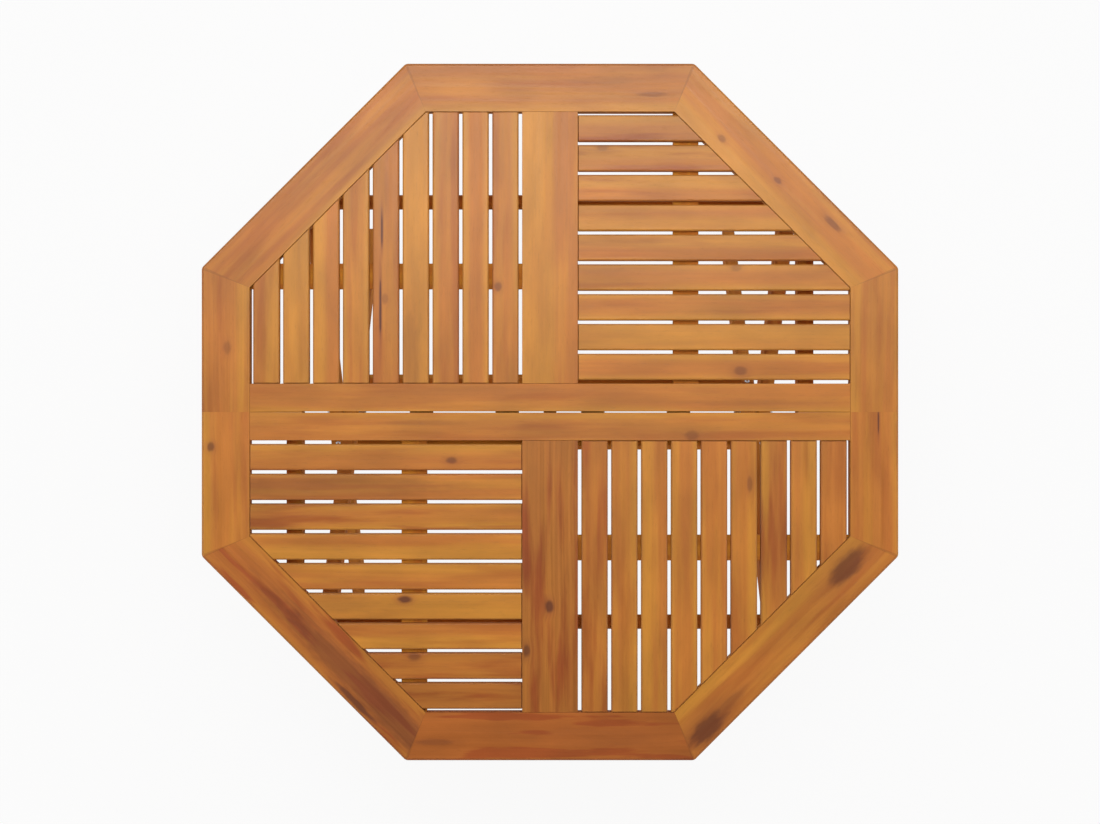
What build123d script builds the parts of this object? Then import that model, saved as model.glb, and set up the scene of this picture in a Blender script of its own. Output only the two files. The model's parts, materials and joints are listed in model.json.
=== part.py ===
from build123d import *
import os
from math import asin, atan2, cos, degrees, hypot, radians, sin, tan

# Folding garden table: an octagonal slatted top in two leaves, hinged along the middle,
# on two crossed leg frames. X runs along the slit between the leaves, +Y towards the rear
# leaf, +Z up. The origin is on the floor under the middle of the top. Millimetres.

# Table top
TOP_SPAN = 900.0              # octagon across its flats
TABLE_HEIGHT = 750.0
SLIT = 1.5                    # gap between the mid rails, which close up at their ends
SLIT_LENGTH = 640.0
BOARD_THICK = 24.0            # rim boards, mid rails and stiles
RIM_WIDTH = 62.0
MID_RAIL_WIDTH = 36.0
STILE_WIDTH = 72.0
CORNER_RADIUS = 8.0           # rounding of the octagon's corners in plan
EDGE_RADIUS = 3.0             # rounding of the upper outer edge
LOWER_EDGE_EASE = 1.5         # bevel of the lower outer edge
SLAT_WIDTH = 34.0
SLAT_GAP = 4.6                # wanted gap, evened out over each panel
SLAT_THICK = 12.0
SLAT_EDGE_EASE = 1.5          # bevel along the top edges of a slat
TONGUE_LENGTH = 8.0           # slat ends let into the boards
TONGUE_THICK = 6.0
BATTEN_WIDTH = 33.0
BATTEN_PLACE = 176.0          # from the middle of the top to the batten's centre line
TENON_LENGTH = 40.0           # loose tenons inside the board joints
TENON_WIDTH = 24.0
TENON_THICK = 8.0
TENON_COVER = 3.0             # wood left under a tenon

# Under-frame of the leaves
BEARER_WIDTH = 20.0
BEARER_SPREAD = 323.0         # from the middle to a bearer's inner face
EYE_RADIUS = 16.0             # wood round the top bar at a bearer's end
RAMP_RADIUS = 165.0           # lead-in of the front bearers' open seat
BEAM_WIDTH = 43.0
BEAM_DEPTH = 36.0
BEAM_LENGTH = 500.0
BEAM_EDGE_RADIUS = 4.0        # lower edge away from the slit
KNUCKLE_RELIEF = 1.5          # bevel of the lower edge at the slit, clear of the hinge knuckles
STOP_WIDTH = 17.0             # blocks that meet at the slit and keep the leaves flat
STOP_LENGTH = 30.0

# Leg frames
BAR_SPAN = 275.0              # from the slit to a top bar's axis
BAR_DROP = 22.0               # from the underside of the boards to a bar's axis
BAR_RADIUS = 9.5
BAR_CHAMFER = 1.0
LEG_WIDTH = 38.0
LEG_THICK = 20.0
LEG_EDGE_EASE = 2.5           # bevel along the edges of a leg
BEARER_GAP = 1.0              # between an outer leg and a bearer
LEG_GAP = 1.5                 # between an outer and an inner leg
SPACER_RADIUS = 14.0
STRETCHER_WIDTH = 24.0
STRETCHER_THICK = 14.0
STRETCHER_DROP = 38.0         # along the leg, from the crossing to the stretcher's middle
STRETCHER_EDGE_RADIUS = 3.0

# Hinges along the slit and bolts at the leg crossing
HINGE_COUNT = 4
HINGE_PITCH = 113.0
HINGE_WIDTH = 29.0
HINGE_REACH = 38.0            # from the hinge axis to a plate's outer edge
HINGE_PLATE_THICK = 1.8
HINGE_CORNER_RADIUS = 5.0
HINGE_BELOW_BAR = 18.0        # hinge axis below the top bars' axes
MIDDLE_KNUCKLE = 9.4
ROLL_FACES = 12               # flat faces round a rolled knuckle and its bore
WASHER_FACES = 16             # flat faces round a washer and its hole
PIN_STAND_OUT = 1.0
BOLT_RADIUS = 4.0
BOLT_HEAD_RADIUS = 10.0
BOLT_HEAD_HEIGHT = 4.5
BOLT_HEAD_EASE = 3.0
BOLT_END = 2.0                # bolt past its nut
NUT_ACROSS_FLATS = 13.0
NUT_HEIGHT = 6.5
WASHER_RADIUS = 12.0
WASHER_THICK = 1.3

# Clearances
GLUE_GAP = 0.1                # joints that stay put
SHOULDER_GAP = 0.8            # from a slat's shoulders to the boards round it
HINGE_GAP = 0.1               # pin in a knuckle
KNUCKLE_GAP = 0.3             # between knuckles, and from a knuckle to the other plate
BUTT_GAP = 0.05               # each leaf's half of the gap where the leaves meet
RUNNING_GAP = 0.3             # turning wood and bolts
SEAT_GAP = 0.5                # round the bar in the front bearers' open seat

# Worked-out sizes
HALF_CORNER = 22.5
apothem = TOP_SPAN / 2
inner_apothem = apothem - RIM_WIDTH
slit_edge = SLIT / 2
mid_edge = slit_edge + MID_RAIL_WIDTH
stile_edge = STILE_WIDTH / 2
board_bottom = TABLE_HEIGHT - BOARD_THICK
slat_bottom = TABLE_HEIGHT - SLAT_THICK
tongue_bottom = slat_bottom + (SLAT_THICK - TONGUE_THICK) / 2
bar_height = board_bottom - BAR_DROP
bearer_bottom = bar_height - EYE_RADIUS
bearer_outer = BEARER_SPREAD + BEARER_WIDTH
beam_bottom = board_bottom - BEAM_DEPTH
hinge_height = bar_height - HINGE_BELOW_BAR
knuckle_radius = beam_bottom - hinge_height
knuckle_bore = knuckle_radius - HINGE_PLATE_THICK
pivot_height = bar_height / 2
leg_lean = degrees(atan2(2 * BAR_SPAN, bar_height))
leg_length = hypot(2 * BAR_SPAN, bar_height)
outer_leg_out = BEARER_SPREAD - BEARER_GAP
outer_leg_in = outer_leg_out - LEG_THICK
inner_leg_out = outer_leg_in - LEG_GAP
inner_leg_in = inner_leg_out - LEG_THICK
far = TOP_SPAN + TABLE_HEIGHT      # longer than anything in the table

LEAVES = {"rear": 1, "front": -1}
SIDES = {"left": -1, "right": 1}


# Shared shapes
def slab(x_ends, y_ends, z_ends):
    """A box between two values along each axis, given in any order."""
    spans = [sorted(ends) for ends in (x_ends, y_ends, z_ends)]
    size = [high - low for low, high in spans]
    middle = [(low + high) / 2 for low, high in spans]
    return Pos(*middle) * Box(*size)


def plan_plate(points, low, high):
    """A plan outline stood up between two heights."""
    outline = Pos(0, 0, low) * Polygon(*points, align=None)
    return extrude(outline, amount=high - low, dir=(0, 0, 1))


def side_plate(profile, x_ends):
    """A profile drawn in Y and Z, as thick as the two X values are apart."""
    low, high = sorted(x_ends)
    return extrude(Plane.YZ.offset(low) * profile, amount=high - low, dir=(1, 0, 0))


def rod(radius, x_ends, y, z):
    """A round bar along X."""
    low, high = sorted(x_ends)
    return Pos((low + high) / 2, y, z) * Rot(0, 90, 0) * Cylinder(radius, high - low)


def faceted_rod(across_flats, faces, x_ends, y, z):
    """A bar along X with that many flat faces."""
    outline = RegularPolygon(across_flats / 2, faces, major_radius=False)
    return side_plate(Pos(y, z) * outline, x_ends)


def corner(number, reach):
    """Corner of an octagon with that apothem, counted from the +X side."""
    angle = radians(HALF_CORNER * (2 * number + 1))
    radius = reach / cos(radians(HALF_CORNER))
    return radius * cos(angle), radius * sin(angle)


def opening(side, end, grow=0.0):
    """Plan of a slatted panel's opening, grown on all sides."""
    near_x = stile_edge - grow
    near_y = mid_edge - grow
    reach = inner_apothem + grow
    cut = reach * tan(radians(HALF_CORNER))
    points = [(near_x, near_y), (reach, near_y), (reach, cut), (cut, reach), (near_x, reach)]
    return [(side * x, end * y) for x, y in points]


# Boards of the top
def make_blank():
    """The whole octagon with its outer edges rounded, which the boards are cut from."""
    points = [corner(number, apothem) for number in range(8)]
    outline = Polygon(*points, align=None)
    outline = fillet(outline.vertices(), CORNER_RADIUS)
    blank = extrude(Pos(0, 0, board_bottom) * outline, amount=BOARD_THICK)
    blank = fillet(blank.faces().sort_by(Axis.Z)[-1].edges(), EDGE_RADIUS)
    return chamfer(blank.faces().sort_by(Axis.Z)[0].edges(), LOWER_EDGE_EASE)


def rim_piece(blank, first, second):
    """One rim board, mitred at the corners with those numbers."""
    outside = apothem + RIM_WIDTH
    points = [corner(first, inner_apothem), corner(first, outside),
              corner(second, outside), corner(second, inner_apothem)]
    return blank & plan_plate(points, board_bottom, TABLE_HEIGHT)


def side_rail(blank, side, end):
    """One rim board beside the slit, mitred at its outer end only."""
    number = {(1, 1): 0, (-1, 1): 3, (-1, -1): 4, (1, -1): 7}[(side, end)]
    outside = apothem + RIM_WIDTH
    points = [(side * inner_apothem, end * BUTT_GAP), (side * outside, end * BUTT_GAP),
              corner(number, outside), corner(number, inner_apothem)]
    return blank & plan_plate(points, board_bottom, TABLE_HEIGHT)


def tenon_places(end):
    """Middle and turn of each loose tenon of a leaf."""
    places = []
    mitre_radius = (apothem + inner_apothem) / 2
    numbers = range(4) if end > 0 else range(4, 8)
    for number in numbers:
        x, y = corner(number, mitre_radius)
        places.append((x, y, HALF_CORNER * (2 * number + 1) + 90))
    for side in SIDES.values():
        places.append((side * inner_apothem, end * (slit_edge + mid_edge) / 2, 0))
    places.append((0, end * mid_edge, 90))
    places.append((0, end * inner_apothem, 90))
    return places


def tenons(end, grow=0.0):
    """A leaf's loose tenons, or, grown, the pockets that hold them."""
    middle = board_bottom + TENON_COVER + TENON_THICK / 2
    size = (TENON_LENGTH + 2 * grow, TENON_WIDTH + 2 * grow, TENON_THICK + 2 * grow)
    return [Pos(x, y, middle) * Rot(0, 0, turn) * Box(*size) for x, y, turn in tenon_places(end)]


def grooves(end):
    """The grooves round a leaf's two openings, which hold the slats' tongues."""
    low = tongue_bottom - GLUE_GAP
    high = tongue_bottom + TONGUE_THICK + GLUE_GAP
    grow = TONGUE_LENGTH + GLUE_GAP
    return [plan_plate(opening(side, end, grow), low, high) for side in SIDES.values()]


# Slatted panels
def slat_starts(near):
    """Inner edge of each slat of a panel, spread evenly from an opening's near edge."""
    clear = inner_apothem - near
    count = round((clear - SLAT_GAP) / (SLAT_WIDTH + SLAT_GAP))
    gap = (clear - count * SLAT_WIDTH) / (count + 1)
    return [near + gap + index * (SLAT_WIDTH + gap) for index in range(count)]


def slats_run_across(side, end):
    """True where the slats lie along X: the four panels alternate."""
    return side * end > 0


def slat_panel(side, end):
    """All slats of one panel, clipped by the rim, with a tongue on each end."""
    across = slats_run_across(side, end)
    board = plan_plate(opening(side, end, -SHOULDER_GAP), slat_bottom, TABLE_HEIGHT)
    inlet = plan_plate(opening(side, end, TONGUE_LENGTH), tongue_bottom, tongue_bottom + TONGUE_THICK)
    slats = []
    for start in slat_starts(mid_edge if across else stile_edge):
        width = (start, start + SLAT_WIDTH)
        if across:
            strip = slab((0, side * far), [end * place for place in width], (0, far))
        else:
            strip = slab([side * place for place in width], (0, end * far), (0, far))
        body = board & strip
        long_edges = body.edges().filter_by(Axis.X if across else Axis.Y).group_by(Axis.Z)[-1]
        slats.append(chamfer(long_edges, SLAT_EDGE_EASE) + (inlet & strip))
    return slats


def batten(side, end):
    """The strip under a panel, square to its slats, flush with the boards' underside."""
    width = (BATTEN_PLACE - BATTEN_WIDTH / 2, BATTEN_PLACE + BATTEN_WIDTH / 2)
    if slats_run_across(side, end):
        strip = slab([side * place for place in width], (0, end * far), (0, far))
    else:
        strip = slab((0, side * far), [end * place for place in width], (0, far))
    return plan_plate(opening(side, end), board_bottom, slat_bottom) & strip


# Under-frame of the leaves
def bearer_profile(end):
    """Side view of a bearer, from the slit to the rounded eye at the top bar."""
    bar_place = end * BAR_SPAN
    body = slab_2d((end * BUTT_GAP, bar_place), (bearer_bottom, board_bottom))
    shoulder = slab_2d((bar_place, bar_place + end * EYE_RADIUS), (bar_height, board_bottom))
    return body + shoulder + Pos(bar_place, bar_height) * Circle(EYE_RADIUS)


def slab_2d(first_ends, second_ends):
    """A rectangle between two values along each direction of a profile."""
    low, high = sorted(first_ends)
    bottom, top = sorted(second_ends)
    return Pos((low + high) / 2, (bottom + top) / 2) * Rectangle(high - low, top - bottom)


def rear_bearer(side):
    """A bearer with a bored eye, in which the outer leg frame's bar turns."""
    bore = Pos(BAR_SPAN, bar_height) * Circle(BAR_RADIUS + RUNNING_GAP)
    profile = bearer_profile(1) - bore
    return side_plate(profile, (side * BEARER_SPREAD, side * bearer_outer))


def front_bearer(side):
    """A bearer with an open hooked seat, which the inner leg frame's bar slides into."""
    bar_place = -BAR_SPAN
    seat_radius = BAR_RADIUS + SEAT_GAP
    seat = Pos(bar_place, bar_height) * Circle(seat_radius)
    mouth = slab_2d((bar_place - seat_radius, bar_place), (0, bar_height))
    ramp_centre = bar_height + seat_radius - RAMP_RADIUS
    ramp = Pos(bar_place, ramp_centre) * Circle(RAMP_RADIUS)
    ramp = ramp & slab_2d((bar_place, 0), (bar_height - RAMP_RADIUS / 2, board_bottom))
    profile = bearer_profile(-1) - seat - mouth - ramp
    return side_plate(profile, (side * BEARER_SPREAD, side * bearer_outer))


def stop_block(end, grow=0.0):
    """The block that meets its twin at the slit, or, grown, its notch in the beam."""
    half = STOP_WIDTH / 2 + grow
    return slab((-half, half), (end * BUTT_GAP, end * (STOP_LENGTH + grow)), (beam_bottom, board_bottom))


def low_edges_outward(beam, end):
    """The lowest edges along X, from the slit outward."""
    lowest = beam.edges().filter_by(Axis.X).group_by(Axis.Z)[0]
    return lowest.sort_by(lambda edge: end * edge.center().Y)


def hinge_beam(end):
    """The beam under a mid rail that carries the hinges."""
    half = BEAM_LENGTH / 2
    beam = slab((-half, half), (end * slit_edge, end * (slit_edge + BEAM_WIDTH)), (beam_bottom, board_bottom))
    beam = fillet(low_edges_outward(beam, end)[-1], BEAM_EDGE_RADIUS)
    beam = chamfer(low_edges_outward(beam, end)[0], KNUCKLE_RELIEF)
    return beam - stop_block(end, GLUE_GAP)


# Hinges
hinge_places = [(index - (HINGE_COUNT - 1) / 2) * HINGE_PITCH for index in range(HINGE_COUNT)]


def knuckle_spans(end):
    """X spans of a hinge leaf's knuckles: two on the rear leaf, one between on the front."""
    half = HINGE_WIDTH / 2
    middle = MIDDLE_KNUCKLE / 2
    if end > 0:
        return [(-half, -middle - KNUCKLE_GAP), (middle + KNUCKLE_GAP, half)]
    return [(-middle, middle)]


def hinge_leaf(end, place):
    """One flap of a butt hinge: a plate under the beam, rolled into its knuckles."""
    near = knuckle_radius + KNUCKLE_GAP
    half = HINGE_WIDTH / 2
    heights = (beam_bottom - HINGE_PLATE_THICK, beam_bottom)
    plate = slab((-half, half), (end * near, end * HINGE_REACH), heights)
    outer_corners = plate.edges().filter_by(Axis.Z).sort_by(Axis.Y)
    outer_corners = outer_corners[2:] if end > 0 else outer_corners[:2]
    flap = fillet(outer_corners, HINGE_CORNER_RADIUS)
    for span in knuckle_spans(end):
        flap += slab(span, (0, end * near), heights)
        flap += faceted_rod(2 * knuckle_radius, ROLL_FACES, span, 0, hinge_height)
    flap -= faceted_rod(2 * knuckle_bore, ROLL_FACES, (-HINGE_WIDTH, HINGE_WIDTH), 0, hinge_height)
    return Pos(place, 0, 0) * flap


def hinge_pin(place):
    half = HINGE_WIDTH / 2 + PIN_STAND_OUT
    return rod(knuckle_bore - HINGE_GAP, (place - half, place + half), 0, hinge_height)


# Leg frames: lean 1 has its top bar at the rear and its feet at the front, lean -1 the reverse
def leg(lean, x_ends):
    """A leg with a rounded top end round its bar and a foot cut level with the floor."""
    run = leg_length + LEG_WIDTH
    tilt = radians(leg_lean)
    middle_y = lean * (BAR_SPAN - sin(tilt) * run / 2)
    middle_z = bar_height - cos(tilt) * run / 2
    shaft = Pos(middle_y, middle_z) * Rot(0, 0, -lean * leg_lean) * Rectangle(LEG_WIDTH, run)
    top_end = Pos(lean * BAR_SPAN, bar_height) * Circle(LEG_WIDTH / 2)
    outline = (shaft + top_end) & slab_2d((-far, far), (0, far))
    body = side_plate(outline, x_ends)
    flat_edges = body.edges().filter_by(lambda edge: edge.bounding_box().size.X < GLUE_GAP)
    body = chamfer(flat_edges.sort_by(Axis.Z)[2:], LEG_EDGE_EASE)
    body -= rod(BAR_RADIUS + GLUE_GAP, x_ends, lean * BAR_SPAN, bar_height)
    return body - rod(BOLT_RADIUS + RUNNING_GAP, x_ends, 0, pivot_height)


def top_bar(lean):
    bar = rod(BAR_RADIUS, (-bearer_outer, bearer_outer), lean * BAR_SPAN, bar_height)
    return chamfer(bar.edges().filter_by(GeomType.CIRCLE), BAR_CHAMFER)


def stretcher(lean, half_length):
    """A bar screwed on the outer edges of a frame's legs, just below their crossing."""
    bar = Box(2 * half_length, STRETCHER_THICK, STRETCHER_WIDTH)
    bar = fillet(bar.edges().filter_by(Axis.X), STRETCHER_EDGE_RADIUS)
    stand_off = -lean * (LEG_WIDTH + STRETCHER_THICK) / 2
    turned = Rot(-lean * leg_lean, 0, 0) * Pos(0, stand_off, -STRETCHER_DROP) * bar
    return Pos(0, 0, pivot_height) * turned


def bar_spacer(side):
    """The sleeve that keeps the inner frame's legs clear of the bearers."""
    ends = (side * (inner_leg_out + GLUE_GAP), side * (BEARER_SPREAD - RUNNING_GAP))
    sleeve = rod(SPACER_RADIUS, ends, -BAR_SPAN, bar_height)
    return sleeve - rod(BAR_RADIUS + GLUE_GAP, ends, -BAR_SPAN, bar_height)


# Bolts at the leg crossing, drawn on the right and mirrored
nut_face = inner_leg_in - (LEG_GAP + WASHER_THICK) / 2


def pivot_bolt():
    """A round-headed bolt from outside the outer leg to its nut inside the inner leg."""
    head = rod(BOLT_HEAD_RADIUS, (outer_leg_out, outer_leg_out + BOLT_HEAD_HEIGHT), 0, pivot_height)
    head = chamfer(head.edges().filter_by(GeomType.CIRCLE).sort_by(Axis.X)[-1], BOLT_HEAD_EASE)
    return head + rod(BOLT_RADIUS, (nut_face - NUT_HEIGHT - BOLT_END, outer_leg_out), 0, pivot_height)


def pivot_washer(middle):
    ends = (middle - WASHER_THICK / 2, middle + WASHER_THICK / 2)
    ring = faceted_rod(2 * WASHER_RADIUS, WASHER_FACES, ends, 0, pivot_height)
    return ring - faceted_rod(2 * (BOLT_RADIUS + GLUE_GAP), WASHER_FACES, ends, 0, pivot_height)


def pivot_nut():
    outline = RegularPolygon(NUT_ACROSS_FLATS / 2, 6, major_radius=False) - Circle(BOLT_RADIUS + GLUE_GAP)
    return side_plate(Pos(0, pivot_height) * outline, (nut_face - NUT_HEIGHT, nut_face))


def both_sides(shapes):
    return shapes + [mirror(shape, about=Plane.YZ) for shape in shapes]


# All the pieces by name
def leaf_boards(leaf, end, blank):
    """The boards that make one leaf's frame, before grooves and pockets are cut."""
    middle = (-stile_edge, stile_edge)
    between = (-inner_apothem, inner_apothem)
    levels = (board_bottom, TABLE_HEIGHT)
    hollow = slab((-SLIT_LENGTH / 2, SLIT_LENGTH / 2), (0, end * slit_edge), levels)
    outer, right, left = ((1, 2), (0, 1), (2, 3)) if end > 0 else ((5, 6), (6, 7), (4, 5))
    boards = {
        "outer_rail": rim_piece(blank, *outer),
        "left_diagonal_rail": rim_piece(blank, *left),
        "right_diagonal_rail": rim_piece(blank, *right),
        "mid_rail": slab(between, (end * BUTT_GAP, end * mid_edge), levels) - hollow,
        "centre_stile": slab(middle, (end * mid_edge, end * inner_apothem), levels),
    }
    for name, side in SIDES.items():
        boards[f"{name}_side_rail"] = side_rail(blank, side, end)
    return {f"{leaf}_{name}": board for name, board in boards.items()}


def make_pieces():
    pieces = {}
    blank = make_blank()
    for leaf, end in LEAVES.items():
        cuts = grooves(end) + tenons(end, GLUE_GAP)
        for name, board in leaf_boards(leaf, end, blank).items():
            pieces[name] = [board - cuts]
        pieces[f"{leaf}_loose_tenons"] = tenons(end)
        for name, side in SIDES.items():
            pieces[f"{leaf}_{name}_slats"] = slat_panel(side, end)
            pieces[f"{leaf}_{name}_batten"] = [batten(side, end)]
            bearer = rear_bearer(side) if end > 0 else front_bearer(side)
            pieces[f"{leaf}_{name}_bearer"] = [bearer]
        pieces[f"{leaf}_hinge_beam"] = [hinge_beam(end)]
        pieces[f"{leaf}_stop_block"] = [stop_block(end)]
        pieces[f"{leaf}_hinge_flaps"] = [hinge_leaf(end, place) for place in hinge_places]
    pieces["hinge_pins"] = [hinge_pin(place) for place in hinge_places]
    for name, side in SIDES.items():
        pieces[f"outer_{name}_leg"] = [leg(1, (side * outer_leg_in, side * outer_leg_out))]
        pieces[f"inner_{name}_leg"] = [leg(-1, (side * inner_leg_in, side * inner_leg_out))]
    pieces["outer_top_bar"] = [top_bar(1)]
    pieces["inner_top_bar"] = [top_bar(-1)]
    pieces["outer_stretcher"] = [stretcher(1, outer_leg_out)]
    pieces["inner_stretcher"] = [stretcher(-1, inner_leg_out)]
    pieces["bar_spacers"] = [bar_spacer(side) for side in SIDES.values()]
    pieces["pivot_bolts"] = both_sides([pivot_bolt()])
    between_legs = inner_leg_out + LEG_GAP / 2
    under_nut = nut_face + WASHER_THICK / 2
    pieces["pivot_washers"] = both_sides([pivot_washer(between_legs), pivot_washer(under_nut)])
    pieces["pivot_nuts"] = both_sides([pivot_nut()])
    return pieces


def folded_angles():
    """Turns, in degrees, from open to folded: slit hinge, rear leaf on its bar, leg crossing."""
    arm = leg_length / 2
    folded_lean = degrees(asin(HINGE_BELOW_BAR / arm))
    swing = leg_lean - folded_lean
    return 180.0, 90.0 + swing, 2 * swing


os.makedirs("parts", exist_ok=True)
for piece_name, shapes in make_pieces().items():
    solids = [solid for shape in shapes for solid in shape.solids()]
    export_step(solids[0] if len(solids) == 1 else Compound(solids), f"parts/{piece_name}.step")
print("fold turns", [round(angle, 3) for angle in folded_angles()])
print("bar, hinge and crossing heights", bar_height, hinge_height, pivot_height)
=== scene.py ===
import json
import math
import random

import bmesh
import bpy
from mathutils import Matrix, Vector


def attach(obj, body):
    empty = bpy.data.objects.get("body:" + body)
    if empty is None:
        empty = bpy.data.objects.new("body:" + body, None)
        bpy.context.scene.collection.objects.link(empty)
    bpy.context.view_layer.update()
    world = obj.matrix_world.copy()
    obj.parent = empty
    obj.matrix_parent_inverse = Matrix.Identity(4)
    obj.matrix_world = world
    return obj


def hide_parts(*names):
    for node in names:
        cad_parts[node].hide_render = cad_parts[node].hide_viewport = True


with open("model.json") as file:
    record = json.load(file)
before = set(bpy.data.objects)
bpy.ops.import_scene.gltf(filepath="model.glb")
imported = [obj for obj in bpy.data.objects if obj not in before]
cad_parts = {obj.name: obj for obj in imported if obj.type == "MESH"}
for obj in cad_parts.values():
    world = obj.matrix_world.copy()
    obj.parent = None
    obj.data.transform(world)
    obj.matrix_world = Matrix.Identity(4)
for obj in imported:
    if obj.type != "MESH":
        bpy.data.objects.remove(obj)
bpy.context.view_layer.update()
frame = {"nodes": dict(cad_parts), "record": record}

# Sizes in millimetres, angles in degrees, places on the top in the CAD frame's X and Y
MM = 0.001
MERGE = 0.001                 # vertices this close are one
FLAT_ANGLE = 0.5              # faces that turn by less than this are one
FACET_ANGLE = 3.0             # facets of a round bar turn by more than this
ARRIS_ANGLE = 25.0            # edges sharper than this are eased
SHARP_ANGLE = 60.0            # edges sharper than this stay creased in the shading
FACE_WEIGHT = 100             # large faces decide the shading
ARRIS = 0.6                   # sanded arris on every wooden edge
METAL_ARRIS = 0.3
ARRIS_STEPS = 2
ARRIS_PROFILE = 0.5           # round
NARROW = 2.2                  # faces narrower than this are eased edges
LENGTH_DIGITS = 5             # edges are compared to this decimal of a metre
UPRIGHT = 0.5                 # grain that rises by more than this share of its length stands upright
BUTT = 0.06                   # boards this close to the slit's middle meet there
GRAIN_SHIFT = 4000.0          # how far apart boards are cut from the log, at random
SEED = 11

# Camera straight above the table, as in the photograph
CAMERA_HEIGHT = 3600.0
LENS = 72.25
SENSOR = 36.0

bodies = frame["record"]["behaviour"]["bodies"]
body_of = {name: body for body, names in bodies.items() for name in names}
slot_of = {part["node"]: part["material_slot"] for part in frame["record"]["subparts"]}


# Colour and nodes
def srgb(code):
    """Linear colour of an sRGB hex value."""
    values = [int(code[index:index + 2], 16) / 255 for index in (1, 3, 5)]
    linear = [v / 12.92 if v <= 0.04045 else ((v + 0.055) / 1.055) ** 2.4 for v in values]
    return (*linear, 1.0)


def add(tree, kind, inputs=None, **settings):
    """A shader node with its settings, and its sockets linked or set."""
    made = tree.nodes.new("ShaderNode" + kind)
    for name, value in settings.items():
        setattr(made, name, value)
    for socket, value in (inputs or {}).items():
        if isinstance(value, bpy.types.NodeSocket):
            tree.links.new(value, made.inputs[socket])
        else:
            made.inputs[socket].default_value = value
    return made


def new_material(name):
    """A material with an empty node tree."""
    material = bpy.data.materials.new(name)
    material.use_nodes = True
    material.node_tree.nodes.clear()
    return material, material.node_tree


# Oiled acacia: planed and sanded boards, wiped with oil. Heartwood is a warm brown with clouds of
# red-brown along the grain, and the sapwood beside it is golden, so most boards show two tones with a
# soft border. Lines and pores are faint, knots are red-brown with a dark core. A satin film of oil gives
# the top a broad soft sheen; edges are sanded less finely and stay dull. End grain drinks more oil and is
# darker. The eased edges are painted darker: painted shade standing in for the shadow along the edges
# and in the joints between boards. The under-frame is the same wood with a dull sanded finish.
HEARTWOOD = srgb("#bc722c")
SAPWOOD = srgb("#ca8830")
RED_BROWN = srgb("#a04e1e")
PORE_BROWN = srgb("#6e3d1d")
KNOT_RIM = srgb("#954f28")
KNOT_BROWN = srgb("#5c2f1e")
# Brown of end grain, which soaks up more oil, and of the painted shade on the eased edges
END_GRAIN_AND_EDGE_SHADE_BROWN = srgb("#7a441c")

# Patterns: length along the grain, width across it and detail of the noise. Lines and pores are drawn
# coarser than real ones, which would not show in the render
CLOUD = (150.0, 15.0, 3.0)
SHADE = (420.0, 24.0, 2.0)
BLOTCH = (120.0, 34.0, 3.0)
STREAK = (300.0, 14.0, 2.0)
LINE = (420.0, 3.2, 2.0)
PORE = (11.0, 0.9, 1.0)
WANDER = (300.0, 60.0, 2.0)
RAGGED = (16.0, 5.0, 3.0)

# Where in a noise a pattern starts and where it is full
NOISE_MIDDLE = 0.5
NOISE_RANGE = (0.3, 0.7)
GOLD_RANGE = (0.44, 0.64)
RED_RANGE = (0.43, 0.70)
PORE_RANGE = (0.60, 0.74)

STRAY = 5.0                   # how far a streak strays sideways
BAND_EDGE = 5.5               # soft edge between heartwood and sapwood
BAND_WAVE = 16.0              # how far that edge strays along the board
SAP_STRENGTH = 0.8
BLOTCH_LIGHT = (0.76, 0.62)   # lightness is the noise times the first plus the second
LINE_STRENGTH = 0.14
PORE_STRENGTH = 0.14
PORE_SUNK = -0.6              # height of an open pore beside lines of 0 to 1
PORE_DEPTH = 0.2              # what 1 stands for
BUMP_STRENGTH = 0.3
MARKS = 3                     # knots and stains a board may carry
FAR = 1e6                     # how deep a mark goes, and how far off an unused one lies
KNOT_CORE = (0.45, 1.1)       # where the dark core starts to fade and ends, in half sizes of the knot
KNOT_HALO = (0.3, 2.2)        # the same for the bent and tinted grain round it
KNOT_RAGGED = 0.6             # how uneven the core's edge is
KNOT_BULGE = 6.0              # how far the grain bends round a knot
KNOT_TINT = 0.7
END_FACING = (0.3, 0.7)       # how squarely a face meets the grain where end grain starts and is full
END_DARK = 0.6
EDGE_SHADE = 0.26              # painted shade on an eased edge, for the shadow along edges and in joints
OIL_IOR = 1.5
TOP_SPECULAR = 0.50
TOP_ROUGHNESS = (0.30, 0.40)
FRAME_SPECULAR = 0.10
FRAME_ROUGHNESS = (0.60, 0.70)
EDGE_ROUGHNESS = 0.85


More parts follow.
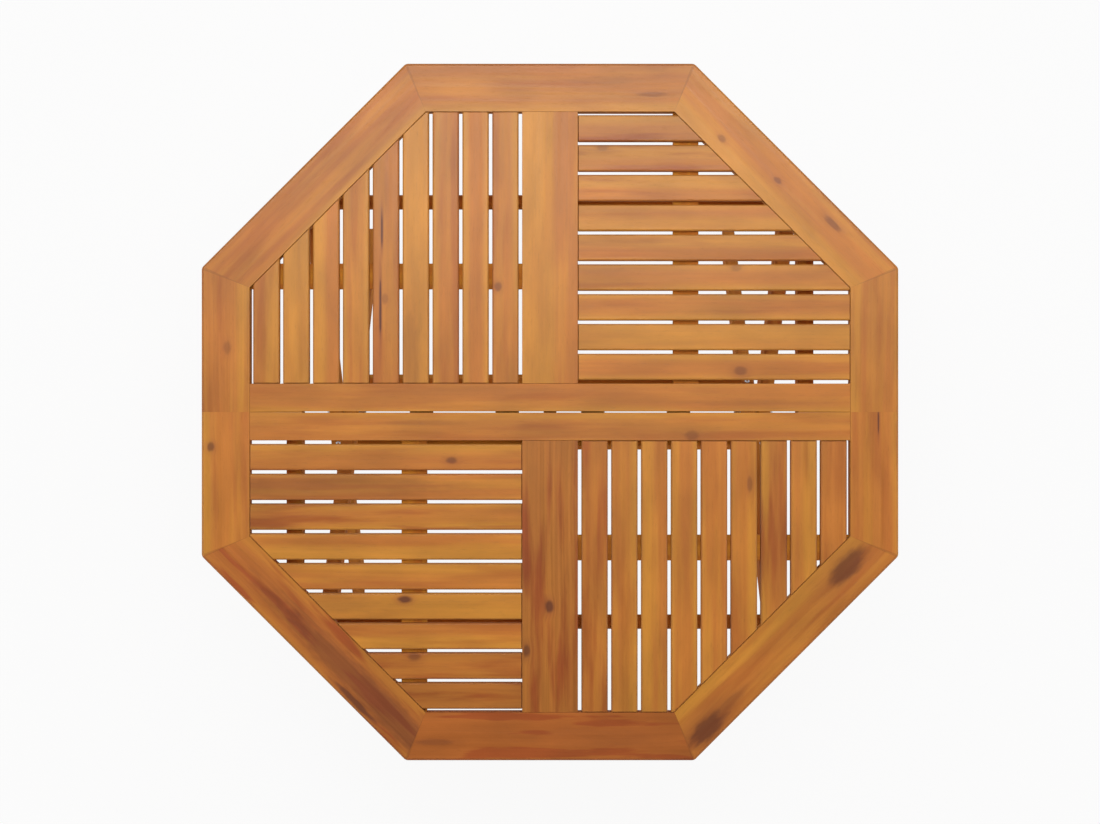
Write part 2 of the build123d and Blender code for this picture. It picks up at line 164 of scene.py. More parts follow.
def acacia(name, specular, roughness):
    """Acacia with a given finish. Each board's tone, heartwood and knots come from its own attributes."""
    material, tree = new_material(name)
    place = add(tree, "Attribute", attribute_name="grain_place").outputs["Vector"]
    lengthwise, sideways, through = add(tree, "SeparateXYZ", {0: place}).outputs
    tone = add(tree, "Attribute", attribute_name="board_tone").outputs["Vector"]
    lightness, redness, goldness = add(tree, "SeparateXYZ", {0: tone}).outputs
    band = add(tree, "Attribute", attribute_name="heart_band").outputs["Vector"]
    heart_middle, heart_half, line_strength = add(tree, "SeparateXYZ", {0: band}).outputs

    def pattern(vector, along, wide, detail):
        scale = (1 / along, 1 / wide, 1 / wide)
        scaled = add(tree, "VectorMath", {0: vector, 1: scale}, operation="MULTIPLY").outputs[0]
        return add(tree, "TexNoise", {"Vector": scaled, "Scale": 1.0, "Detail": detail}).outputs["Fac"]

    # Streaks wander sideways along the board
    stray = pattern(place, *WANDER)
    stray = add(tree, "Math", {0: stray, 1: NOISE_MIDDLE}, operation="SUBTRACT").outputs[0]
    across = add(tree, "Math", {0: stray, 1: 2 * STRAY, 2: sideways}, operation="MULTIPLY_ADD").outputs[0]

    # Knots and stains, placed on each board by its own attributes, and the grain that bends round them
    ragged = pattern(place, *RAGGED)
    ragged = add(tree, "Math", {0: ragged, 1: KNOT_RAGGED, 2: -KNOT_RAGGED / 2},
                 operation="MULTIPLY_ADD").outputs[0]
    dark = 0.0
    bend = 0.0
    for number in range(MARKS):
        at = add(tree, "Attribute", attribute_name=f"mark_{number}_place").outputs["Vector"]
        size = add(tree, "Attribute", attribute_name=f"mark_{number}_size").outputs["Vector"]
        half_length, half_width, depth = add(tree, "SeparateXYZ", {0: size}).outputs
        extent = add(tree, "CombineXYZ", {0: half_length, 1: half_width, 2: FAR}).outputs[0]
        away = add(tree, "VectorMath", {0: place, 1: at}, operation="SUBTRACT").outputs[0]
        away = add(tree, "VectorMath", {0: away, 1: extent}, operation="DIVIDE").outputs[0]
        away = add(tree, "VectorMath", {0: away}, operation="LENGTH").outputs["Value"]
        edge = add(tree, "Math", {0: away, 1: ragged}, operation="ADD").outputs[0]
        core = add(tree, "MapRange", {0: edge, 1: KNOT_CORE[0], 2: KNOT_CORE[1], 3: 1.0, 4: 0.0},
                   interpolation_type="SMOOTHSTEP").outputs[0]
        halo = add(tree, "MapRange", {0: away, 1: KNOT_HALO[0], 2: KNOT_HALO[1], 3: 1.0, 4: 0.0},
                   interpolation_type="SMOOTHSTEP").outputs[0]
        stain = add(tree, "Math", {0: core, 1: depth}, operation="MULTIPLY").outputs[0]
        pull = add(tree, "Math", {0: halo, 1: depth}, operation="MULTIPLY").outputs[0]
        dark = add(tree, "Math", {0: dark, 1: stain}, operation="MAXIMUM").outputs[0]
        bend = add(tree, "Math", {0: bend, 1: pull}, operation="MAXIMUM").outputs[0]
    across = add(tree, "Math", {0: bend, 1: KNOT_BULGE, 2: across}, operation="MULTIPLY_ADD").outputs[0]
    grain = add(tree, "CombineXYZ", {0: lengthwise, 1: across, 2: through}).outputs[0]
    cloud = pattern(grain, *CLOUD)
    shade = pattern(grain, *SHADE)
    blotch = pattern(grain, *BLOTCH)
    streak = pattern(grain, *STREAK)
    line = pattern(grain, *LINE)
    pore = pattern(grain, *PORE)

    # Golden sapwood outside the heartwood band, and streaks of gold, as strong as the board says
    off = add(tree, "Math", {0: across, 1: heart_middle}, operation="SUBTRACT").outputs[0]
    off = add(tree, "Math", {0: off}, operation="ABSOLUTE").outputs[0]
    off = add(tree, "Math", {0: off, 1: heart_half}, operation="SUBTRACT").outputs[0]
    off = add(tree, "Math", {0: shade, 1: BAND_WAVE, 2: off}, operation="MULTIPLY_ADD").outputs[0]
    sap = add(tree, "MapRange", {0: off, 1: BAND_WAVE / 2 - BAND_EDGE, 2: BAND_WAVE / 2 + BAND_EDGE,
                                 4: SAP_STRENGTH}, interpolation_type="SMOOTHSTEP").outputs[0]
    gold = add(tree, "MapRange", {0: streak, 1: GOLD_RANGE[0], 2: GOLD_RANGE[1]},
               interpolation_type="SMOOTHSTEP").outputs[0]
    gold = add(tree, "Math", {0: gold, 1: goldness}, operation="MULTIPLY").outputs[0]
    gold = add(tree, "Math", {0: gold, 1: sap}, operation="MAXIMUM").outputs[0]
    colour = add(tree, "Mix", {0: gold, 6: HEARTWOOD, 7: SAPWOOD}, data_type="RGBA").outputs[2]

    # Clouds of red-brown, as strong as the board says; past 1 the whole board turns red-brown
    red = add(tree, "MapRange", {0: cloud, 1: RED_RANGE[0], 2: RED_RANGE[1]},
              interpolation_type="SMOOTHSTEP").outputs[0]
    red = add(tree, "Math", {0: red, 1: redness}, operation="MULTIPLY").outputs[0]
    base = add(tree, "Math", {0: redness, 1: 1.0}, operation="SUBTRACT").outputs[0]
    red = add(tree, "Math", {0: red, 1: base}, operation="MAXIMUM").outputs[0]
    colour = add(tree, "Mix", {0: red, 6: colour, 7: RED_BROWN}, data_type="RGBA").outputs[2]

    # Pores are short faint dashes
    open_pore = add(tree, "MapRange", {0: pore, 1: PORE_RANGE[0], 2: PORE_RANGE[1]},
                    interpolation_type="SMOOTHSTEP").outputs[0]
    speck = add(tree, "Math", {0: open_pore, 1: PORE_STRENGTH}, operation="MULTIPLY").outputs[0]
    colour = add(tree, "Mix", {0: speck, 6: colour, 7: PORE_BROWN}, data_type="RGBA").outputs[2]

    # Knots, and the tinted wood round them
    tint = add(tree, "Math", {0: bend, 1: KNOT_TINT}, operation="MULTIPLY").outputs[0]
    colour = add(tree, "Mix", {0: tint, 6: colour, 7: KNOT_RIM}, data_type="RGBA").outputs[2]
    colour = add(tree, "Mix", {0: dark, 6: colour, 7: KNOT_BROWN}, data_type="RGBA").outputs[2]

    # Board's own lightness, with broad blotches and with lines as strong as the board says
    light = add(tree, "Math", {0: blotch, 1: BLOTCH_LIGHT[0], 2: BLOTCH_LIGHT[1]},
                operation="MULTIPLY_ADD").outputs[0]
    fine = add(tree, "Math", {0: line, 1: NOISE_MIDDLE}, operation="SUBTRACT").outputs[0]
    fine = add(tree, "Math", {0: fine, 1: line_strength, 2: 1.0}, operation="MULTIPLY_ADD").outputs[0]
    light = add(tree, "Math", {0: light, 1: fine}, operation="MULTIPLY").outputs[0]
    light = add(tree, "Math", {0: light, 1: lightness}, operation="MULTIPLY").outputs[0]
    colour = add(tree, "VectorMath", {0: colour, "Scale": light}, operation="SCALE").outputs[0]

    # End grain faces along the board and is darker with oil; eased edges are its narrow faces, painted darker
    # as the shade along the edges and in the joints
    along = add(tree, "Attribute", attribute_name="grain_way").outputs["Vector"]
    normal = add(tree, "TexCoord").outputs["Normal"]
    facing = add(tree, "VectorMath", {0: normal, 1: along}, operation="DOT_PRODUCT").outputs["Value"]
    facing = add(tree, "Math", {0: facing}, operation="ABSOLUTE").outputs[0]
    end = add(tree, "MapRange", {0: facing, 1: END_FACING[0], 2: END_FACING[1], 4: END_DARK},
              interpolation_type="SMOOTHSTEP").outputs[0]
    eased = add(tree, "Attribute", attribute_name="edge_shade_mask").outputs["Fac"]
    eased = add(tree, "Math", {0: eased, 1: EDGE_SHADE}, operation="MULTIPLY").outputs[0]
    end_grain_and_edge_shade = add(tree, "Math", {0: end, 1: eased}, operation="MAXIMUM").outputs[0]
    colour = add(tree, "Mix", {0: end_grain_and_edge_shade, 6: colour, 7: END_GRAIN_AND_EDGE_SHADE_BROWN}, data_type="RGBA").outputs[2]

    # Flat faces are smoother than edges
    upward = add(tree, "SeparateXYZ", {0: normal}).outputs["Z"]
    flat = add(tree, "Math", {0: upward, 1: upward}, operation="MULTIPLY").outputs[0]
    gloss = add(tree, "MapRange", {0: line, 1: NOISE_RANGE[0], 2: NOISE_RANGE[1],
                                   3: roughness[0], 4: roughness[1]}).outputs[0]
    gloss = add(tree, "Mix", {0: flat, 2: EDGE_ROUGHNESS, 3: gloss}).outputs[0]
    height = add(tree, "Math", {0: open_pore, 1: PORE_SUNK, 2: line}, operation="MULTIPLY_ADD").outputs[0]
    bump = add(tree, "Bump", {"Strength": BUMP_STRENGTH, "Distance": PORE_DEPTH * MM, "Height": height})
    shader = add(tree, "BsdfPrincipled", {"Base Color": colour, "Roughness": gloss, "IOR": OIL_IOR,
                                          "Specular IOR Level": specular, "Normal": bump.outputs["Normal"]})
    add(tree, "OutputMaterial", {"Surface": shader.outputs[0]})
    return material


# Brass-plated steel: pressed hinge plates with a thin, slightly dulled plating that is paler in clouds.
# Each pattern has its size and the detail of its noise
BRASS_CLOUD = (14.0, 2.0)
BRASS_GRAIN = (0.8, 3.0)
BRASS_TONES = (srgb("#b98d45"), srgb("#d8b468"))
BRASS_ROUGHNESS = (0.28, 0.46)

# Zinc-plated steel: bolts, nuts, washers and screws, grey with a faint mottle in tone and gloss
ZINC_MOTTLE = (3.0, 3.0)
ZINC_TONES = (srgb("#9da0a2"), srgb("#c9cbcb"))
ZINC_ROUGHNESS = (0.24, 0.42)


def plated_steel(name, cloud, grain, tones, roughness):
    """A thin plating, clouded in its tone and uneven in its gloss."""
    material, tree = new_material(name)
    place = add(tree, "TexCoord").outputs["Object"]
    clouds = add(tree, "TexNoise", {"Vector": place, "Scale": 1 / (cloud[0] * MM), "Detail": cloud[1]})
    grains = add(tree, "TexNoise", {"Vector": place, "Scale": 1 / (grain[0] * MM), "Detail": grain[1]})
    colour = add(tree, "Mix", {0: clouds.outputs["Fac"], 6: tones[0], 7: tones[1]},
                 data_type="RGBA").outputs[2]
    gloss = add(tree, "MapRange", {0: grains.outputs["Fac"], 1: NOISE_RANGE[0], 2: NOISE_RANGE[1],
                                   3: roughness[0], 4: roughness[1]}).outputs[0]
    shader = add(tree, "BsdfPrincipled", {"Base Color": colour, "Metallic": 1.0, "Roughness": gloss})
    add(tree, "OutputMaterial", {"Surface": shader.outputs[0]})
    return material


top_wood = acacia("oiled_acacia", TOP_SPECULAR, TOP_ROUGHNESS)
frame_wood = acacia("sanded_acacia", FRAME_SPECULAR, FRAME_ROUGHNESS)
brass = plated_steel("brass_plated_steel", BRASS_CLOUD, BRASS_GRAIN, BRASS_TONES, BRASS_ROUGHNESS)
zinc = plated_steel("zinc_plated_steel", ZINC_MOTTLE, ZINC_MOTTLE, ZINC_TONES, ZINC_ROUGHNESS)
slot_material = {"hinge_brass": brass, "zinc_steel": zinc}


# Boards: each solid of a CAD node becomes a piece of its own, with sanded arrises
def loose_solids(mesh):
    """The connected solids of a mesh, each as a new bmesh with flat faces joined."""
    source = bmesh.new()
    source.from_mesh(mesh)
    bmesh.ops.remove_doubles(source, verts=source.verts, dist=MERGE * MM)
    seen = set()
    solids = []
    for first in source.verts:
        if first in seen:
            continue
        group = [first]
        seen.add(first)
        for vert in group:
            for edge in vert.link_edges:
                other = edge.other_vert(vert)
                if other not in seen:
                    seen.add(other)
                    group.append(other)
        solid = bmesh.new()
        copies = {vert: solid.verts.new(vert.co) for vert in group}
        faces = {face: None for vert in group for face in vert.link_faces}
        for face in faces:
            solid.faces.new([copies[vert] for vert in face.verts])
        bmesh.ops.dissolve_limit(solid, angle_limit=math.radians(FLAT_ANGLE),
                                 verts=solid.verts, edges=solid.edges)
        solids.append(solid)
    source.free()
    return solids


def creases(solid, angle):
    """Edges whose faces turn by more than an angle."""
    return [edge for edge in solid.edges
            if len(edge.link_faces) == 2 and edge.calc_face_angle(0) > math.radians(angle)]


def ease_edges(solid, width):
    """Rounds every sharp edge by a small width."""
    bmesh.ops.bevel(solid, geom=creases(solid, ARRIS_ANGLE), offset=width * MM, offset_type="OFFSET",
                    segments=ARRIS_STEPS, profile=ARRIS_PROFILE, affect="EDGES", clamp_overlap=True)


def close_butt(solid):
    """Brings the ends of the leaves' boards together at the slit's middle."""
    for vert in solid.verts:
        if abs(vert.co.y) < BUTT * MM:
            vert.co.y = 0


def longest_edge(solid):
    """Direction of a board's longest edge or a round bar's facets, which is its grain."""
    edge = max(creases(solid, FACET_ANGLE), key=lambda fold: round(fold.calc_length(), LENGTH_DIGITS))
    way = (edge.verts[1].co - edge.verts[0].co).normalized()
    lead = max(way, key=abs)
    return way if lead > 0 else -way


def finish_piece(solid, name, material):
    """A scene object from a bmesh, shaded so that flat faces stay flat between round edges."""
    mesh = bpy.data.meshes.new(name)
    solid.normal_update()
    solid.to_mesh(mesh)
    solid.free()
    mesh.shade_smooth()
    mesh.set_sharp_from_angle(angle=math.radians(SHARP_ANGLE))
    mesh.materials.append(material)
    piece = bpy.data.objects.new(name, mesh)
    shading = piece.modifiers.new("flat_faces", "WEIGHTED_NORMAL")
    shading.weight = FACE_WEIGHT
    shading.keep_sharp = True
    bpy.context.scene.collection.objects.link(piece)
    return piece


def set_attribute(mesh, name, values):
    """A vector for each vertex, which the material reads by its name."""
    data = mesh.attributes.new(name, "FLOAT_VECTOR", "POINT").data
    data.foreach_set("vector", [number for value in values for number in value])


def grain_frame(way):
    """Directions along, across and through a board."""
    through = Vector((0, 0, 1)) if abs(way.z) < UPRIGHT else Vector((1, 0, 0))
    return way, through.cross(way).normalized(), through


def face_width(mesh, face):
    """Area of a face over its longest edge, in millimetres."""
    corners = [mesh.vertices[index].co for index in face.vertices]
    longest = max((one - other).length for one, other in zip(corners, corners[1:] + corners[:1]))
    return face.area / longest / MM


def paint_board(piece, way, tone, band, lines, marks, dice):
    """Gives a board its own place in the log, its tone, heartwood, grain lines and knots."""
    mesh = piece.data
    axes = grain_frame(way)
    shift = Vector([dice.uniform(0, GRAIN_SHIFT) for _ in range(3)])
    count = len(mesh.vertices)

    def in_grain(point):
        return Vector([point.dot(axis) / MM for axis in axes]) + shift

    places = [in_grain(vert.co) for vert in mesh.vertices]
    sides = [place.y for place in places]
    middle = (min(sides) + max(sides)) / 2
    width = max(sides) - min(sides)
    offset, share = band
    set_attribute(mesh, "grain_place", places)
    set_attribute(mesh, "grain_way", [way] * count)
    # Narrow faces are eased edges, which the material paints darker as shade
    eased = mesh.attributes.new("edge_shade_mask", "FLOAT", "FACE").data
    eased.foreach_set("value", [float(face_width(mesh, face) < NARROW) for face in mesh.polygons])
    set_attribute(mesh, "board_tone", [tone] * count)
    set_attribute(mesh, "heart_band", [(middle + offset * width, share * width, lines)] * count)
    for number in range(MARKS):
        if number < len(marks):
            x, y, long, wide, depth = marks[number]
            place = in_grain(Vector((x * MM, y * MM, 0)))
            size = (long, wide, depth)
        else:
            place = Vector((-FAR, 0, 0))
            size = (1.0, 1.0, 0.0)
        set_attribute(mesh, f"mark_{number}_place", [place] * count)
        set_attribute(mesh, f"mark_{number}_size", [size] * count)


# Tones a maker would sort the boards by: lightness, strength of red-brown clouds, strength of gold streaks
TONES = {
    # pale: its extra lightness is painted light on the battens, standing in for light that reaches them down
    # the gaps
    "pale": (1.30, 0.10, 0.90),
    "straw": (1.15, 0.12, 0.60),
    "honey": (1.08, 0.20, 0.60),
    "tan": (1.06, 0.40, 0.35),
    "rust": (0.99, 0.75, 0.20),
    "umber": (0.88, 1.00, 0.10),
    "russet": (1.05, 1.55, 0.05),
    "amber": (1.16, 1.30, 0.35),
}
SLAT_TONES = {
    "rear_left_slats": "tan straw tan straw tan honey straw honey tan",
    "rear_right_slats": "honey honey tan tan tan honey tan rust rust",
    "front_left_slats": "tan straw rust honey tan honey tan rust umber",
    "front_right_slats": "rust tan honey honey honey tan rust tan tan",
}
BOARD_TONES = {
    "rear_outer_rail": "tan",
    "front_left_side_rail": "tan",
    "rear_centre_stile": "honey",
    "rear_right_diagonal_rail": "straw",
    "rear_right_side_rail": "tan",
    "rear_mid_rail": "tan",
    "front_mid_rail": "tan",
    "front_outer_rail": "russet",
    "front_centre_stile": "umber",
    "front_left_diagonal_rail": "amber",
    "front_right_diagonal_rail": "tan",
    # The battens' pale tone is painted light, not paler wood
    "rear_left_batten": "pale",
    "rear_right_batten": "pale",
    "front_left_batten": "pale",
    "front_right_batten": "pale",
}
OTHER_TONES = ("tan", "rust")

# Ends of the names of boards with the top's finish
TOP_BOARDS = ("_rail", "_stile", "_slats")

# Heartwood band: its middle from the board's middle and its half width, as shares of the board's width
BANDS = {
    "rear_outer_rail": (0.18, 0.50),
    "rear_left_diagonal_rail": (0.15, 0.50),
    "rear_right_diagonal_rail": (0.20, 0.40),
    "rear_left_side_rail": (0.20, 0.45),
    "front_left_side_rail": (-0.12, 0.45),
    "rear_right_side_rail": (-0.08, 0.36),
    "front_right_side_rail": (0.05, 0.45),
    "front_mid_rail": (-0.22, 0.50),
    "rear_mid_rail": (0.20, 0.50),
    "rear_centre_stile": (-0.45, 0.35),
    "front_right_diagonal_rail": (-0.20, 0.45),
    "front_outer_rail": (0.00, 1.00),
    "front_centre_stile": (0.00, 1.00),
    "front_left_diagonal_rail": (0.00, 0.34),
}
SLAT_BANDS = {
    "heart": (0.0, 1.0),
    "sapwood": (2.0, 0.2),
    "low_edge": (0.3, 0.5),
    "high_edge": (-0.3, 0.5),
    "low_half": (0.5, 0.5),
    "high_half": (-0.5, 0.5),
    "both_edges": (0.0, 0.3),
}

# Where each slat has its sapwood, from the middle of the table outwards; the high edge of a slat is the
# one towards the rear or the left
SLAT_SAPWOOD = {
    "rear_left_slats": "low_edge both_edges high_edge sapwood heart both_edges high_half sapwood low_half",
    "rear_right_slats": ("both_edges sapwood both_edges both_edges high_half "
                         "low_half high_half high_half high_edge"),
    "front_left_slats": "high_edge heart both_edges low_half high_edge sapwood low_half heart heart",
    "front_right_slats": "heart low_edge high_half both_edges heart low_edge high_edge low_half heart",
}

# Other boards have their heartwood anywhere between these
BAND_OFFSETS = (-0.5, 0.5)
BAND_SHARES = (0.35, 0.85)

# Boards with stronger lines along the grain
LINED = {
    "front_centre_stile": 0.55,
    "front_left_diagonal_rail": 0.35,
    "front_outer_rail": 0.25,
    "front_right_side_rail": 0.25,
    "rear_left_side_rail": 0.25,
    "rear_right_side_rail": 0.20,
}

# Knots and stains: X and Y on the top, half length, half width, depth of colour
MARKED = {
    "rear_right_diagonal_rail": [(222, 353, 8, 5, 0.4), (294, 299, 7, 4, 0.5), (365, 243, 17, 5, 0.5)],
    "rear_outer_rail": [(132, 410, 24, 4, 0.35), (70, 428, 60, 6, 0.15)],
    "front_outer_rail": [(60, -420, 110, 20, 0.12), (-150, -426, 30, 5, 0.3)],
    "rear_left_side_rail": [(-417, 83, 10, 6, 0.3)],
    "front_left_side_rail": [(-438, -45, 7, 6, 0.6)],
    "front_right_side_rail": [(424, -12, 18, 1.2, 0.8)],
    "front_left_diagonal_rail": [
        (-212, -385, 260, 22, 0.52), (-296, -282, 90, 3, 0.3), (-252, -374, 48, 5, 0.8)],
    "front_right_diagonal_rail": [
        (384, -200, 38, 16, 0.7), (204, -408, 38, 16, 0.7), (230, -378, 40, 8, 0.3)],
    "front_mid_rail": [(183, -30, 12, 8, 0.4), (70, -24, 170, 14, 0.13), (-165, -14, 70, 4, 0.15)],
    "rear_mid_rail": [(-60, 26, 190, 8, 0.10), (250, 12, 120, 5, 0.12)],
    "front_centre_stile": [(-1, -251, 10, 7, 0.75), (-30, -308, 10, 5, 0.6)],
    "rear_left_slat_1": [(-67, 162, 7, 6, 0.5)],
    "rear_left_slat_4": [(-181, 58, 95, 16, 0.22)],
    "rear_left_slat_5": [(-213, 146, 8, 5, 0.3), (-219, 133, 46, 1.7, 0.95), (-217, 236, 28, 1.7, 0.85)],
    "rear_right_slat_1": [(246, 53, 10, 7, 0.45)],
    "rear_right_slat_4": [(240, 186, 9, 5, 0.3)],
    "rear_right_slat_8": [(68, 341, 9, 5, 0.3)],
    "front_left_slat_1": [(-127, -62, 9, 5, 0.6)],
    "front_left_slat_2": [(-290, -97, 185, 24, 0.26)],
    "front_left_slat_6": [(-188, -242, 11, 6, 0.85), (-310, -246, 120, 18, 0.22)],
    "front_left_slat_8": [(-175, -316, 10, 6, 0.5)],
    "front_right_slat_6": [(258, -93, 12, 4, 0.4)],
}


def reach(solid):
    """Least sum of a corner's distances from the slit and from the centre line, to sort slats outwards."""
    return min(abs(vert.co.x) + abs(vert.co.y) for vert in solid.verts)


def settle(piece, node):
    """A piece stands for a CAD node and moves with its body."""
    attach(piece, body_of[node])
    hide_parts(node)


def board_name(node, number, total):
    """A single board's name, or a slat's with its number from the middle of the table."""
    if total == 1:
        return f"{node}_board"
    return f"{node[:-1]}_{number}"


def dress_wood(node, dice):
    """Replaces a wooden CAD node by its eased boards."""
    solids = sorted(loose_solids(frame["nodes"][node].data), key=reach)
    material = top_wood if node.endswith(TOP_BOARDS) else frame_wood
    pieces = []
    for number, solid in enumerate(solids, 1):
        way = longest_edge(solid)
        close_butt(solid)
        ease_edges(solid, ARRIS)
        name = board_name(node, number, len(solids))
        piece = finish_piece(solid, name, material)
        chance_tone = dice.choice(OTHER_TONES)
        chance_band = (dice.uniform(*BAND_OFFSETS), dice.uniform(*BAND_SHARES))
        if node in SLAT_TONES:
            tone = TONES[SLAT_TONES[node].split()[number - 1]]
            band = SLAT_BANDS[SLAT_SAPWOOD[node].split()[number - 1]]
        else:
            tone = TONES[BOARD_TONES.get(node, chance_tone)]
            band = BANDS.get(node, chance_band)
        lines = LINED.get(node, LINE_STRENGTH)
        marks = MARKED.get(name, MARKED.get(node, []))
        paint_board(piece, way, tone, band, lines, marks, dice)
        settle(piece, node)
        pieces.append(piece)
    return pieces


def dress_metal(node):
    """Replaces a metal CAD node by pieces with eased edges."""
    pieces = []
    for number, solid in enumerate(loose_solids(frame["nodes"][node].data), 1):
        ease_edges(solid, METAL_ARRIS)
        piece = finish_piece(solid, f"{node[:-1]}_{number}", slot_material[slot_of[node]])
        settle(piece, node)
        pieces.append(piece)
    return pieces


dice = random.Random(SEED)
boards = {}
hardware = {}
for node in sorted(frame["nodes"]):
    if slot_of[node] in slot_material:
        hardware[node] = dress_metal(node)
    elif node.endswith("_loose_tenons"):
        frame["nodes"][node].data.materials.clear()
        frame["nodes"][node].data.materials.append(frame_wood)
    else:
        boards[node] = dress_wood(node, dice)


# Countersunk screws that hold the under-frame, the battens, the hinges and the stretchers
SCREW_RADIUS = 3.6
SCREW_PROUD = 0.3
SCREW_RECESS = 0.9
SCREW_SECTORS = 24
SCREW_RINGS = ((1.0, 0.0), (0.92, 0.7), (0.55, 1.0), (0.5, 1.0), (0.0, 1.0))  # shares of radius and rise
CROSS_REACH = 0.5             # share of the radius that the recess takes
CROSS_ARMS = 4
CROSS_SECTORS = 2             # width of an arm
BATTEN_END = 30.0             # a slat that ends this close to a batten's middle gets no screw
BEARER_SCREWS = (20.0, 100.0, 165.0)  # from the slit
BEAM_SCREWS = (113.0, 226.0)  # from the centre line
HINGE_SCREWS = ((-9.0, 15.0), (9.0, 15.0), (0.0, 30.0))  # from the hinge's middle and from the slit
HINGE_PLATE = 1.8             # a plate's thickness
STRETCHER_HALF = 7.0          # half a stretcher's thickness
STRETCHER_SCREW = 6.0         # along the leg, either side of the stretcher's middle
DOWN = Vector((0, 0, -1))
joints = {joint["name"]: joint for joint in frame["record"]["behaviour"]["joints"]}
CROSSING = Vector(joints["leg_crossing"]["pos_m"]) / MM


def corners_of(piece):
    """Lowest and highest corner of a piece, in millimetres."""
    points = [vert.co / MM for vert in piece.data.vertices]
    return [Vector([pick(point[axis] for point in points) for axis in range(3)]) for pick in (min, max)]


def add_screw(shape, point, way, turn):
    """A domed head with a cross recess, facing along a direction."""
    tilt = Vector((0, 0, 1)).rotation_difference(way)
    arm_pitch = SCREW_SECTORS // CROSS_ARMS
    loops = []
    for share, rise in SCREW_RINGS:
        loop = []
        for sector in range(SCREW_SECTORS if share else 1):
            angle = turn + 2 * math.pi * sector / SCREW_SECTORS
            in_cross = not share or sector % arm_pitch < CROSS_SECTORS
            sunk = share <= CROSS_REACH and in_cross
            height = -SCREW_RECESS if sunk else SCREW_PROUD * rise
            local = Vector((math.cos(angle), math.sin(angle), 0)) * share * SCREW_RADIUS
            local.z = height
            loop.append(shape.verts.new((point + tilt @ local) * MM))
        loops.append(loop)
    for outer, inner in zip(loops, loops[1:]):
        for sector in range(SCREW_SECTORS):
            after = (sector + 1) % SCREW_SECTORS
            if len(inner) == 1:
                shape.faces.new((outer[sector], outer[after], inner[0]))
            else:
                shape.faces.new((outer[sector], outer[after], inner[after], inner[sector]))


def drive_screws(name, body, places, dice):
    """All screws of one kind on one body, as one piece."""
    shape = bmesh.new()
    for point, way in places:
        add_screw(shape, Vector(point), Vector(way), dice.uniform(0, math.pi))
    piece = finish_piece(shape, name, zinc)
    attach(piece, body)


def batten_screws(node):
    """One screw from below through the batten into each slat that crosses it."""
    low, high = corners_of(boards[node][0])
    runs_along_x = high.x - low.x > high.y - low.y
    middle = (low + high) / 2
    places = []
    for slat in boards[node.replace("batten", "slats")]:
        slat_low, slat_high = corners_of(slat)
        slat_middle = (slat_low + slat_high) / 2
        axis = 1 if runs_along_x else 0
        reach_in = min(abs(slat_low[axis]), abs(slat_high[axis]))
        reach_out = max(abs(slat_low[axis]), abs(slat_high[axis]))
        if reach_in + BATTEN_END < abs(middle[axis]) < reach_out - BATTEN_END:
            x = slat_middle.x if runs_along_x else middle.x
            y = middle.y if runs_along_x else slat_middle.y
            places.append(((x, y, low.z), DOWN))
    return places


def leaf_screws(leaf, end):
    """Screws of a leaf's bearers and beam, all from below; end is 1 at the rear and -1 at the front."""
    places = []
    for side in ("left", "right"):
        low, high = corners_of(boards[f"{leaf}_{side}_bearer"][0])
        places += [(((low.x + high.x) / 2, end * along, low.z), DOWN) for along in BEARER_SCREWS]
    low, high = corners_of(boards[f"{leaf}_hinge_beam"][0])
    for x in BEAM_SCREWS:
        places += [((turn * x, (low.y + high.y) / 2, low.z), DOWN) for turn in (-1, 1)]
    return places


def hinge_screws(leaf, end):
    """Three screws in each hinge plate."""
    places = []
    for flap in hardware[f"{leaf}_hinge_flaps"]:
        low, high = corners_of(flap)
        for x, y in HINGE_SCREWS:
            places.append((((low.x + high.x) / 2 + x, end * y, high.z - HINGE_PLATE), DOWN))
    return places


def stretcher_screws(frame_name):
    """Two screws through the stretcher into each leg."""
    low, high = corners_of(boards[f"{frame_name}_stretcher"][0])
    middle = (low + high) / 2
    bar_low, bar_high = corners_of(boards[f"{frame_name}_top_bar"][0])
    along = ((bar_low + bar_high) / 2 - CROSSING).normalized()
    away = middle - CROSSING
    outward = (away - along * away.dot(along)).normalized()
    places = []
    for side in ("left", "right"):
        leg_low, leg_high = corners_of(boards[f"{frame_name}_{side}_leg"][0])
        for step in (-STRETCHER_SCREW, STRETCHER_SCREW):
            point = middle + outward * STRETCHER_HALF + along * step
            point.x = (leg_low.x + leg_high.x) / 2
            places.append((point, outward))
    return places


for leaf, end in (("rear", 1), ("front", -1)):
    batten_places = batten_screws(f"{leaf}_left_batten") + batten_screws(f"{leaf}_right_batten")
    drive_screws(f"{leaf}_batten_screws", f"{leaf}_leaf", batten_places, dice)
    drive_screws(f"{leaf}_frame_screws", f"{leaf}_leaf", leaf_screws(leaf, end), dice)
    drive_screws(f"{leaf}_hinge_screws", f"{leaf}_leaf", hinge_screws(leaf, end), dice)
for frame_name in ("outer", "inner"):
    stretcher_places = stretcher_screws(frame_name)
    drive_screws(f"{frame_name}_stretcher_screws", f"{frame_name}_leg_frame", stretcher_places, dice)


# Floor, light and camera
FLOOR_SIZE = 60000.0
FLOOR_DROP = 0.5              # keeps the floor just under the feet
FLOOR_WHITE = 0.91            # share of plain white in the floor, which leaves a soft shadow
CEILING = 0.18                # light from above, where 1 is white
WALL_TOP = (0.15, 0.45)       # rise where the white walls start to dim and where the ceiling starts

# Each light's place, the point it faces, its two sides, its power in watts and whether it shows in gloss
LIGHTS = {
    "rear_softbox": ((0, 825, 3000), (0, 825, 0), (2600, 850), 25, True),
    "overhead_key": ((0, 250, 3300), (0, 0, 750), (700, 700), 15.5, False),
    "left_fill": ((-2300, -500, 1900), (0, 0, 600), (1200, 1200), 10, True),
    "right_fill": ((2300, -500, 1900), (0, 0, 600), (1200, 1200), 10, True),
}


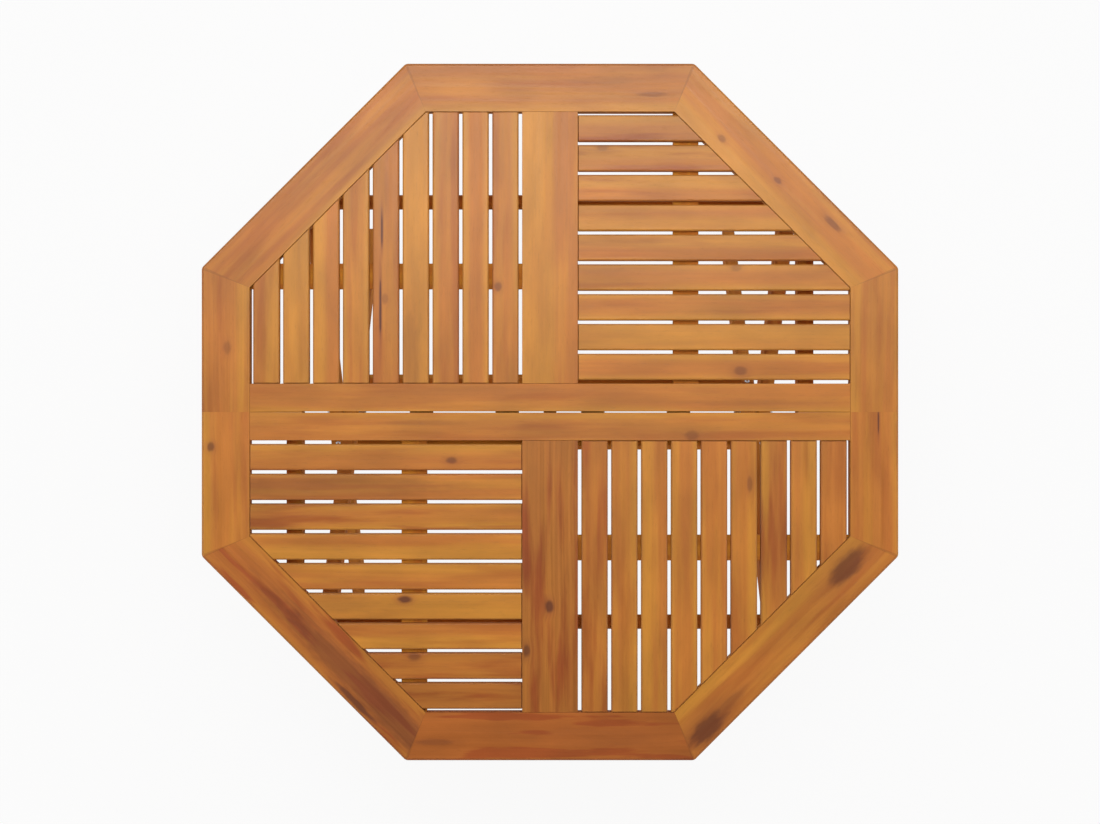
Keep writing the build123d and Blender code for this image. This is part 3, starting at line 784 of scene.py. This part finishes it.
def studio_white(tree, strength):
    """Share of white seen straight, in gloss and through glass."""
    path = add(tree, "LightPath").outputs
    seen = add(tree, "Math", {0: path["Is Camera Ray"], 1: path["Is Glossy Ray"]},
               operation="MAXIMUM").outputs[0]
    seen = add(tree, "Math", {0: seen, 1: path["Is Transmission Ray"]}, operation="MAXIMUM").outputs[0]
    return add(tree, "Math", {0: seen, 1: strength}, operation="MULTIPLY").outputs[0]


def make_floor():
    """A plain pale floor under the feet."""
    half = FLOOR_SIZE / 2 * MM
    shape = bmesh.new()
    corners = [(-half, -half), (half, -half), (half, half), (-half, half)]
    shape.faces.new([shape.verts.new((x, y, -FLOOR_DROP * MM)) for x, y in corners])
    material, tree = new_material("white_studio_floor")
    paper = add(tree, "BsdfDiffuse", {"Color": srgb("#fafafa")}).outputs[0]
    glow = add(tree, "Emission", {"Color": srgb("#ffffff"), "Strength": 1.0}).outputs[0]
    mixed = add(tree, "MixShader", {0: studio_white(tree, FLOOR_WHITE), 1: paper, 2: glow}).outputs[0]
    add(tree, "OutputMaterial", {"Surface": mixed})
    floor = finish_piece(shape, "studio_floor", material)


def make_world():
    """White walls all round, under a dimmer ceiling."""
    world = bpy.data.worlds.new("studio")
    bpy.context.scene.world = world
    world.use_nodes = True
    tree = world.node_tree
    tree.nodes.clear()
    way = add(tree, "TexCoord").outputs["Generated"]
    rise = add(tree, "SeparateXYZ", {0: way}).outputs["Z"]
    strength = add(tree, "MapRange", {0: rise, 1: WALL_TOP[0], 2: WALL_TOP[1], 3: 1.0, 4: CEILING}).outputs[0]
    light = add(tree, "Background", {"Color": srgb("#ffffff"), "Strength": strength}).outputs[0]
    add(tree, "OutputWorld", {"Surface": light})


def area_light(name, place, target, size, power, in_gloss):
    """A soft rectangle of light that the camera doesn't see."""
    light = bpy.data.lights.new(name, "AREA")
    light.shape = "RECTANGLE"
    light.size = size[0] * MM
    light.size_y = size[1] * MM
    light.energy = power
    lamp = bpy.data.objects.new(name, light)
    lamp.location = Vector(place) * MM
    aim = (Vector(target) - Vector(place)).normalized()
    lamp.rotation_euler = aim.to_track_quat("-Z", "Y").to_euler()
    lamp.visible_camera = False
    lamp.visible_glossy = in_gloss
    bpy.context.scene.collection.objects.link(lamp)


def make_camera():
    """Looks straight down with the rear leaf at the top of the picture."""
    data = bpy.data.cameras.new("camera")
    data.lens = LENS
    data.sensor_width = SENSOR
    camera = bpy.data.objects.new("camera", data)
    camera.location = (0, 0, CAMERA_HEIGHT * MM)
    bpy.context.scene.collection.objects.link(camera)
    bpy.context.scene.camera = camera


make_floor()
make_world()
for name, settings in LIGHTS.items():
    area_light(name, *settings)
make_camera()
bpy.context.scene.view_settings.view_transform = "Standard"
